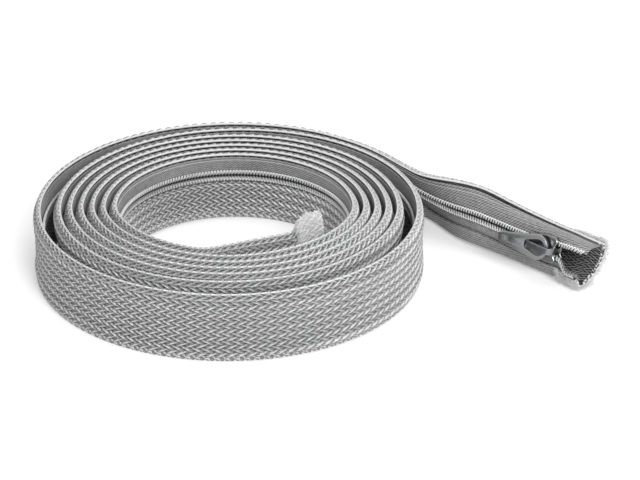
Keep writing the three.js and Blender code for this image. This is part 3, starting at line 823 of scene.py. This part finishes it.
def strand_lines(keep, lift=0.0):
    """Every strand of both directions, cut to where keep(s, row) is true."""
    total = LATTICE[-1]
    rows = np.arange(0, ROWS + 0.25, 0.5)
    lines = []
    for direction in (1, -1):
        first = int(-ROWS / 2) - 1 if direction > 0 else 0
        last = int(total) + 1 if direction > 0 else int(total + ROWS / 2) + 1
        for i in range(first, last):
            phase = i + direction * rows / 2
            inside = (phase > 0) & (phase < total)
            if inside.sum() < 3:
                continue
            s = np.interp(phase, LATTICE, ROUTE["s"])
            tone = RNG.random()
            wobble = RNG.normal(0, 0.05, 3)
            s = s + wobble[0] * np.sin(rows * 0.31 + wobble[1] * 60)
            shown = inside & keep(s, rows) & (rows > 0.4)
            # The strands lie calmer near the upper cut edge, where they are folded and sewn.
            calm = 1 - 0.8 * np.exp(-((rows / 2.6) ** 2))
            over = direction * np.clip(np.cos(math.pi / 2 * (rows - 0.5)) * 1.25, -1, 1)
            height = lift + 0.2 + calm * WEAVE * 1.3 * over
            at, normal = BRAID.at(s, rows / ROWS, height)
            # Painted shade: depth drops where the strand sinks under the crossing strand, and its material
            # darkens it there.
            depth = mix(1.0, smooth(over, -0.2, 0.75), 0.5 + 0.5 * calm)
            along = rows * 1.85 + i * 7.3
            edges = np.flatnonzero(np.diff(np.concatenate([[0], shown.astype(int), [0]])))
            for a, b in zip(edges[::2], edges[1::2]):
                if b - a > 2:
                    line = {"points": at[a:b], "upright": normal[a:b], "along": along[a:b]}
                    lines.append({**line, "depth": depth[a:b], "tone": tone})
    return lines


# Rows counted from the upper cut edge: what shows of the turns between others, the bottom fold,
# and where the tape's margin begins on the tail.
TOP_ROWS, FOLD_ROW, MARGIN_ROW = 11.5, 35.0, 39.5
S_HALF = mix(S_FIRST, S_STRAIGHT, 0.48)

BRAID_AREAS = {
    "braid_tail": lambda s, r: (s < S_COIL) & (r < MARGIN_ROW + 1.5),
    "braid_outer_turn": lambda s, r: (s >= S_COIL - 4) & (s < S_FIRST) & (r < FOLD_ROW + 2.5),
    "braid_turn_tops_a": lambda s, r: (s >= S_FIRST) & (s < S_HALF) & (r < TOP_ROWS),
    "braid_turn_tops_b": lambda s, r: (s >= S_HALF) & (s < S_STRAIGHT) & (r < TOP_ROWS),
    "braid_inner_wall": lambda s, r: (s >= S_LAST) & (s < S_STRAIGHT) & (r > FOLD_ROW - 1),
    "braid_inner_end": lambda s, r: s >= S_STRAIGHT,
}
pieces = []
for name, keep in BRAID_AREAS.items():
    piece = lay(name, strand_lines(keep), RIBBON_TREE, STRAND_WIDTH, STRAND_THICK, BRAID_STRAND)
    pieces.append(piece)


def strip_mesh(name, outside, inside, extra, material):
    """A closed strip between two grids of points, with values stored for its material."""
    n, m = outside.shape[:2]
    points = np.concatenate([outside, inside[:, ::-1]], 1)
    points[..., 2] = np.maximum(points[..., 2], 0)
    width = 2 * m
    index = np.arange(n * width).reshape(n, width)
    a, b = index[:-1], index[1:]
    quads = np.stack([a, np.roll(a, -1, 1), np.roll(b, -1, 1), b], -1).reshape(-1, 4)
    mesh = bpy.data.meshes.new(name)
    caps = []
    for row, flip in ((index[0], True), (index[-1], False)):
        for j in range(m - 1):
            quad = [row[j], row[j + 1], row[width - 2 - j], row[width - 1 - j]]
            caps.append([int(v) for v in (quad[::-1] if flip else quad)])
    mesh.from_pydata(points.reshape(-1, 3).tolist(), [], quads.tolist() + caps)
    store(mesh, "faces_out", np.concatenate([np.ones((n, m)), np.zeros((n, m))], 1))
    for label, values in extra.items():
        store(mesh, label, np.concatenate([values, values[:, ::-1]], 1))
    mesh.polygons.foreach_set("use_smooth", [True] * len(mesh.polygons))
    mesh.materials.append(material)
    piece = add_object(name, mesh)
    work = bmesh.new()
    work.from_mesh(mesh)
    bmesh.ops.recalc_face_normals(work, faces=work.faces)
    work.to_mesh(mesh)
    work.free()
    return piece


def thinned(count, step):
    """Every so many of a count of stations or columns, and the last."""
    return np.unique(np.append(np.arange(0, count, step), count - 1))


EVERY = thinned(len(ROUTE["s"]), 2)


# The cloth under the strands, which is all there is of the walls that nobody sees.
def braid_cloth(name, node):
    columns = thinned(BRAID_COLUMNS + 1, 4)
    outer = (BRAID.points + BRAID.normals * 0.06 * MM)[EVERY][:, columns]
    inner = (BRAID.points - BRAID.normals * 0.3 * MM)[EVERY][:, columns]
    ones = np.ones((len(EVERY), len(columns)))
    stored = {
        "phase": LATTICE[EVERY][:, None] * ones,
        "row": ones * (columns / BRAID_COLUMNS * ROWS)[None],
        "along": ROUTE["s"][EVERY][:, None] * ones,
    }
    piece = strip_mesh(name, outer, inner, stored, BRAID_CLOTH)
    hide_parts(node)
    pieces.append(piece)


braid_cloth("braid_ground", "braided_sleeve")


# The two zip tapes.
def tape_piece(name, node, side):
    curve = spaced(rounded(tape_line(SECTION, side)), TAPE_COLUMNS)
    middle = Surface(curve, TAPE_COLUMNS, outwards=False)
    outside = middle.points + middle.normals * TAPE / 2 * MM
    inside = middle.points - middle.normals * TAPE / 2 * MM
    ones = np.ones((len(EVERY), TAPE_COLUMNS + 1))
    stored = {
        "along": ROUTE["s"][EVERY][:, None] * ones,
        "cross": ones * np.linspace(0, TAPE_WIDTH, TAPE_COLUMNS + 1)[None],
    }
    piece = strip_mesh(name, outside[EVERY], inside[EVERY], stored, TAPE_CLOTH)
    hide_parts(node)
    pieces.append(piece)
    return middle


UPPER_TAPE = tape_piece("tape_upper", "zip_tape_upper", 1)
LOWER_TAPE = tape_piece("tape_lower", "zip_tape_lower", -1)


# On the tail the lower tape's margin is turned down over the braid and sewn there.
def tape_margin(name, s0, s1):
    s, t = np.meshgrid(np.arange(s0, s1, 2.0), np.linspace(MARGIN_ROW / ROWS, 1, 17), indexing="ij")
    shape = (*s.shape, 3)
    fade = 1 - smooth(s, s1 - 30, s1 - 6)
    outside = BRAID.at(s.ravel(), t.ravel(), (0.2 + 0.42 * fade).ravel())[0].reshape(shape)
    inside = BRAID.at(s.ravel(), t.ravel(), (0.05 + 0.15 * fade).ravel())[0].reshape(shape)
    piece = strip_mesh(name, outside, inside, {"along": s, "cross": t * BRAID_GIRTH}, TAPE_CLOTH)
    pieces.append(piece)


tape_margin("tape_lower_margin", 0.4, S_COIL + 4)


# The wound coils of the zip.
def tooth_frame(side):
    """In the section at each station: the tape's edge, the way along the tape and the way off its face."""
    line = tape_line(SECTION, side)
    edge, bend = line[:, 0], line[:, 1]
    along = unit(bend - edge)
    face = np.stack([-along[:, 1], along[:, 0]], 1) * side
    return edge, along, face


def coil_lines(side, s0, s1, per_turn):
    edge, along, face = tooth_frame(side)
    turns = int((s1 - s0) / TOOTH_STEP)
    angle = np.linspace(0, 2 * math.pi * turns, turns * per_turn + 1)
    s = s0 + TOOTH_STEP * angle / (2 * math.pi)
    r = COIL_FILAMENT / 2
    near = -(TAPE_INNER - CHAIN_GAP) + r
    far = near + TOOTH_WIDTH - 2 * r
    low = TAPE / 2 + CLEARANCE * 0.4 + r
    high = TAPE / 2 + CLEARANCE + TOOTH_DEPTH - r
    across = (near + far) / 2 + (far - near) / 2 * np.cos(angle)
    lift = (low + high) / 2 + (high - low) / 2 * np.sin(angle)
    outwards = (across - near) / (far - near)
    lift = lift - TOOTH_DIP * (1 - outwards) * (np.sin(angle) > 0) * np.sin(angle)
    i = station_at(s)
    grid = {}
    for label, values in (("edge", edge), ("along", along), ("face", face)):
        grid[label] = np.stack([np.interp(i, np.arange(len(values)), values[:, k]) for k in (0, 1)], 1)
    p = grid["edge"] + grid["along"] * across[:, None] + grid["face"] * lift[:, None]
    centre = grid["edge"] + grid["along"] * ((near + far) / 2) + grid["face"] * ((low + high) / 2)
    points, inner = place_at(p, s), place_at(centre, s)
    # Painted shade: the winding darkens towards the other row, where it dips into the chain's middle.
    depth = smooth(outwards, 0.0, 0.5)
    return [{"points": points, "upright": unit(points - inner), "along": s, "tone": 0.5, "depth": depth}]


def place_at(p, s):
    """Section points, one for each distance s."""
    i = station_at(s)
    k = np.arange(len(ROUTE["s"]))

    def value(array):
        return np.interp(i, k, array)

    lean, pivot, raised = value(SECTION["lean"]), value(SECTION["pivot"]), value(RAISED)
    cos, sin = np.cos(lean), np.sin(lean)
    out = p[:, 0] * cos - (p[:, 1] - pivot) * sin
    z = p[:, 0] * sin + (p[:, 1] - pivot) * cos + raised
    h = value(ROUTE["heading"])
    forward = value(SECTION["slant"]) * (z - TAIL_HEIGHT / 2)
    x = value(ROUTE["x"]) + out * np.sin(h) - forward * np.cos(h) + COIL_MIDDLE[0]
    y = value(ROUTE["y"]) - out * np.cos(h) - forward * np.sin(h) + COIL_MIDDLE[1]
    return np.stack([x, y, z], 1) * MM


# Each row has three stretches. The one between the turns can't be seen, so it has fewer points to a winding.
S_HIDDEN = S_COIL + 25
ZIP_STRETCHES = (
    ("_tail", 1.0, S_HIDDEN, 12),
    ("_inner_wall", S_LAST, S_END - 1, 12),
    ("_between_turns", S_HIDDEN, S_LAST, 6),
)
for side, node in ((1, "zip_coil_upper"), (-1, "zip_coil_lower")):
    for stretch, s0, s1, per_turn in ZIP_STRETCHES:
        windings = coil_lines(side, s0, s1, per_turn)
        piece = lay(node + stretch, windings, ROUND_TREE, COIL_FILAMENT, COIL_FILAMENT, COIL_PLASTIC)
        if stretch == "_tail":
            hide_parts(node)
        pieces.append(piece)


# Cords and seams that run the whole length: the rolled top edge, and the sewing lines.
def rail_lines(surface, s0, s1, across, height):
    s = np.linspace(s0, s1, int((s1 - s0) / 1.1))
    at, normal = surface.at(s, np.full(len(s), across), height)
    return [{"points": at, "upright": normal, "along": s * 2.0, "tone": 0.6}]


TOP_SEAM_ROW, LOW_SEAM_ROW = 3.0, ROWS - 1.4
# Name, surface, from and to along it, place across it, height over it, thickness and material.
RAILS = (
    ("top_edge_cord", BRAID, 0.4, S_END - 1.0, 0.25 / ROWS, 0.2, 0.8, BRAID_STRAND),
    ("top_seam_thread", BRAID, 2.0, S_END - 1.5, TOP_SEAM_ROW / ROWS, 0.5, 0.3, THREAD),
    ("lower_seam_thread_tail", BRAID, 2.0, S_COIL + 30, LOW_SEAM_ROW / ROWS, 0.5, 0.3, THREAD),
    ("margin_thread_upper", BRAID, 2.0, S_COIL, (MARGIN_ROW + 2.4) / ROWS, 0.7, 0.26, THREAD),
    ("margin_thread_lower", BRAID, 2.0, S_COIL, (MARGIN_ROW + 0.3) / ROWS, 0.66, 0.34, THREAD),
    ("lower_seam_thread_wall", BRAID, S_LAST, S_END - 1.5, LOW_SEAM_ROW / ROWS, 0.5, 0.3, THREAD),
    ("tape_thread_tail", UPPER_TAPE, 2.0, S_COIL + 30, 0.8, 0.26, 0.2, THREAD),
    ("tape_thread_wall", UPPER_TAPE, S_LAST, S_END - 1.5, 0.8, 0.26, 0.2, THREAD),
)
for name, surface, s0, s1, across, height, size, material in RAILS:
    piece = lay(name, rail_lines(surface, s0, s1, across, height), ROUND_TREE, size, size, material)
    pieces.append(piece)


# The light end bindings: a felted band with loose fibres.
def binding_band(name, node, s0, s1):
    s, t = np.meshgrid(np.linspace(s0, s1, 27), np.linspace(0, 1, 141), indexing="ij")
    across = 2 * (s - s0) / (s1 - s0) - 1
    lump = 0.1 * np.sin(s * 2.3 + 9 * t) + 0.08 * np.sin(s * 4.1 - 61 * t) + 0.06 * np.sin(97 * t + 1.7 * s)
    height = 0.5 + (0.2 + lump) * np.sqrt(np.clip(1 - across**6, 0, 1))
    outside = BRAID.at(s.ravel(), t.ravel(), height.ravel())[0].reshape(*s.shape, 3)
    inside = BRAID.at(s.ravel(), t.ravel(), 0.42)[0].reshape(*s.shape, 3)
    piece = strip_mesh(name, outside, inside, {"along": s, "cross": t * BRAID_GIRTH}, FELT)
    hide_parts(node)
    pieces.append(piece)


def fibre_lines(s0, s1, count, length):
    """Loose fibres that stand off the band, each a short bent hair."""
    root_s = RNG.uniform(s0, s1, count)
    root_t = RNG.uniform(0.01, 0.99, count)
    root, normal = BRAID.at(root_s, root_t, 0.95)
    ahead, _ = BRAID.at(np.clip(root_s + 0.5, 0, S_END), root_t, 0.95)
    along = unit(ahead - root)
    across = np.cross(normal, along)
    swing = RNG.normal(0, 0.9, (count, 2))
    bend = RNG.normal(0, 0.7, (count, 2))
    size = length * RNG.uniform(0.5, 1.3, count)
    lines = []
    for i in range(count):
        first = unit(normal[i] * 0.55 + along[i] * swing[i, 0] + across[i] * swing[i, 1])
        second = unit(first + along[i] * bend[i, 0] + across[i] * bend[i, 1])
        third = unit(second + normal[i] * bend[i, 1] * 0.6)
        reach = size[i] * MM / 3
        points = [root[i], root[i] + first * reach, root[i] + (first + second) * reach]
        points.append(points[-1] + third * reach)
        points = np.array(points)
        upright = np.tile(normal[i], (len(points), 1))
        lines.append({"points": points, "upright": upright, "along": np.arange(4.0), "tone": RNG.random()})
    return lines


def rim_lines(count):
    """The melted lip, rolled over the mouth's edge."""
    t = np.linspace(0, 1, count)
    at, normal = BRAID.at(0.55 + 0.2 * np.sin(t * 71), t, 0.15 + RNG.normal(0, 0.09, count))
    return [{"points": at, "upright": normal, "along": t * 50, "tone": 0.4}]


def is_melted(s, row):
    return s >= S_END - INNER_BINDING + 0.3


def mouth_fibre_lines():
    return fibre_lines(0.2, MOUTH_BINDING - 0.4, 2600, 1.9) + fibre_lines(0.1, 1.5, 900, 2.2)


def inner_end_fibre_lines():
    return fibre_lines(S_END - INNER_BINDING + 0.4, S_END - 0.2, 1800, 1.6)


binding_band("mouth_felt", "mouth_binding", 0.15, MOUTH_BINDING)
binding_band("inner_end_felt", "inner_end_binding", S_END - INNER_BINDING, S_END - 0.15)
# What is melted or loose on the bindings: name, lines, profile, width and thickness.
FIBRE = 0.1
FUZZY = (
    ("mouth_rim_roll", rim_lines(90), ROUND_TREE, 1.15, 1.15),
    ("melted_end_strands", strand_lines(is_melted, 0.72), RIBBON_TREE, 1.2, 0.3),
    ("mouth_fibres", mouth_fibre_lines(), ROUND_TREE, FIBRE, FIBRE),
    ("inner_end_fibres", inner_end_fibre_lines(), ROUND_TREE, FIBRE, FIBRE),
)
for name, lines, tree, width, thickness in FUZZY:
    piece = lay(name, lines, tree, width, thickness, FUZZ)
    pieces.append(piece)

for piece in pieces:
    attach(piece, "sleeve")


# The slider and the pull, with their cast edges rounded. Places along the pull are measured forward
# from its bar, first in the CAD solid and then as they are drawn.
PULL_FROM = (0.65, -3.65, -13.95, -16.65, -21.35)
PULL_TO = (0.65, -3.65, -8.7, -14.0, -18.9)


def draw_in_pull(mesh):
    """Closes the pull's hole up to a short ring and makes its tab solid, from the bar to the free end."""
    joint = next(j for j in frame["record"]["behaviour"]["joints"] if j["name"] == "pull_hinge")
    bar = np.array(joint["pos_m"])
    axis = unit(np.array(joint["axis"], float))
    rest = math.radians(PULL_LIFT)
    forward = np.array([1.0, 0.0, 0.0])
    forward = forward * math.cos(rest) + np.cross(axis, forward) * math.sin(rest)
    points = np.empty(len(mesh.vertices) * 3, np.float32)
    mesh.vertices.foreach_get("co", points)
    points = points.reshape(-1, 3).astype(float)
    x = (points - bar) @ forward / MM
    moved = np.interp(-x, [-v for v in PULL_FROM], [-v for v in PULL_TO])
    points += np.outer(-moved - x, forward) * MM
    mesh.vertices.foreach_set("co", points.astype(np.float32).ravel())


def rounded_casting(name, node, body, edge):
    source = frame["nodes"][node]
    mesh = source.data.copy()
    mesh.name = name
    if body == "pull":
        draw_in_pull(mesh)
    work = bmesh.new()
    work.from_mesh(mesh)
    bmesh.ops.remove_doubles(work, verts=work.verts, dist=0.004 * MM)
    bmesh.ops.dissolve_limit(work, angle_limit=math.radians(1.0), verts=work.verts, edges=work.edges)
    sharp = [e for e in work.edges if len(e.link_faces) == 2 and e.calc_face_angle(0) > math.radians(32)]
    bmesh.ops.bevel(
        work, geom=sharp, offset=edge * MM, segments=2, profile=0.6, affect="EDGES", clamp_overlap=True
    )
    work.to_mesh(mesh)
    work.free()
    mesh.materials.clear()
    mesh.materials.append(CASTING)
    mesh.polygons.foreach_set("use_smooth", [True] * len(mesh.polygons))
    mesh.set_sharp_from_angle(angle=math.radians(38))
    piece = add_object(name, mesh)
    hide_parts(node)
    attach(piece, body)


rounded_casting("slider_casting", "slider_body", "slider", 0.14)
rounded_casting("pull_casting", "pull_tab", "pull", 0.16)


# Floor, light and camera. The world gives this much light, and looks white to the camera and in metal.
WORLD_LIGHT, FLOOR_GLOW = 0.39, 0.22
FLOOR_SIZE, FLOOR_DROP = 6.0, 0.0002
# Name, place, size and power of each lamp.
LAMPS = (
    ("key", (1.15, -0.6, 0.85), 0.7, 17.0),
    ("fill", (-0.5, -1.1, 1.1), 1.0, 5.0),
    ("top", (0.1, 0.6, 1.6), 1.2, 9.0),
)
CAMERA_ELEVATION, CAMERA_AZIMUTH, CAMERA_LENS = 27.12, 44.0, 204.0
# How far the camera stands back from the coil's middle, to the right of it and above it, in metres.
CAMERA_BACK, CAMERA_RIGHT, CAMERA_UP = 1.3, 0.03136, 0.010


def studio():
    world = bpy.data.worlds.new("studio")
    bpy.context.scene.world = world
    world.use_nodes = True
    tree = world.node_tree
    background = tree.nodes["Background"]
    background.inputs["Color"].default_value = (1, 1, 1, 1)
    path = tree.nodes.new("ShaderNodeLightPath")
    seen = add_math(tree, "MAXIMUM", path.outputs["Is Camera Ray"], path.outputs["Is Glossy Ray"])
    strength = plus(tree, times(tree, seen, 1 - WORLD_LIGHT), WORLD_LIGHT)
    link(tree, strength, background.inputs["Strength"])
    mesh = bpy.data.meshes.new("floor")
    r = FLOOR_SIZE
    mesh.from_pydata([(-r, -r, 0), (r, -r, 0), (r, r, 0), (-r, r, 0)], [], [(0, 1, 2, 3)])
    floor = add_object("floor", mesh)
    floor.location.z = -FLOOR_DROP
    material, tree, shader = new_material("floor", (0.93, 0.93, 0.93), 0.9)
    path = tree.nodes.new("ShaderNodeLightPath")
    glow = times(tree, path.outputs["Is Camera Ray"], FLOOR_GLOW)
    link(tree, glow, shader.inputs["Emission Strength"])
    shader.inputs["Emission Color"].default_value = (1, 1, 1, 1)
    mesh.materials.append(material)
    for name, at, size, power in LAMPS:
        lamp = bpy.data.lights.new(name, "AREA")
        lamp.energy = power
        lamp.shape = "DISK"
        lamp.size = size
        obj = bpy.data.objects.new(name, lamp)
        obj.location = at
        obj.rotation_mode = "QUATERNION"
        obj.rotation_quaternion = Vector(at).to_track_quat("Z", "Y")
        bpy.context.scene.collection.objects.link(obj)


def photo_camera():
    elevation, azimuth = math.radians(CAMERA_ELEVATION), math.radians(CAMERA_AZIMUTH)
    ce, se, ca, sa = math.cos(elevation), math.sin(elevation), math.cos(azimuth), math.sin(azimuth)
    back = Vector((ce * sa, -ce * ca, se))
    right = Vector((ca, sa, 0))
    up = Vector((-se * sa, se * ca, ce))
    camera = bpy.data.cameras.new("camera")
    camera.sensor_width = 36
    camera.lens = CAMERA_LENS
    camera.clip_start, camera.clip_end = 0.05, 50
    obj = bpy.data.objects.new("camera", camera)
    middle = Vector((COIL_MIDDLE[0] * MM, COIL_MIDDLE[1] * MM, 0))
    obj.location = middle + back * CAMERA_BACK + right * CAMERA_RIGHT + up * CAMERA_UP
    obj.rotation_mode = "QUATERNION"
    obj.rotation_quaternion = back.to_track_quat("Z", "Y")
    bpy.context.scene.collection.objects.link(obj)
    bpy.context.scene.camera = obj


studio()
photo_camera()
bpy.context.scene.view_settings.view_transform = "Standard"
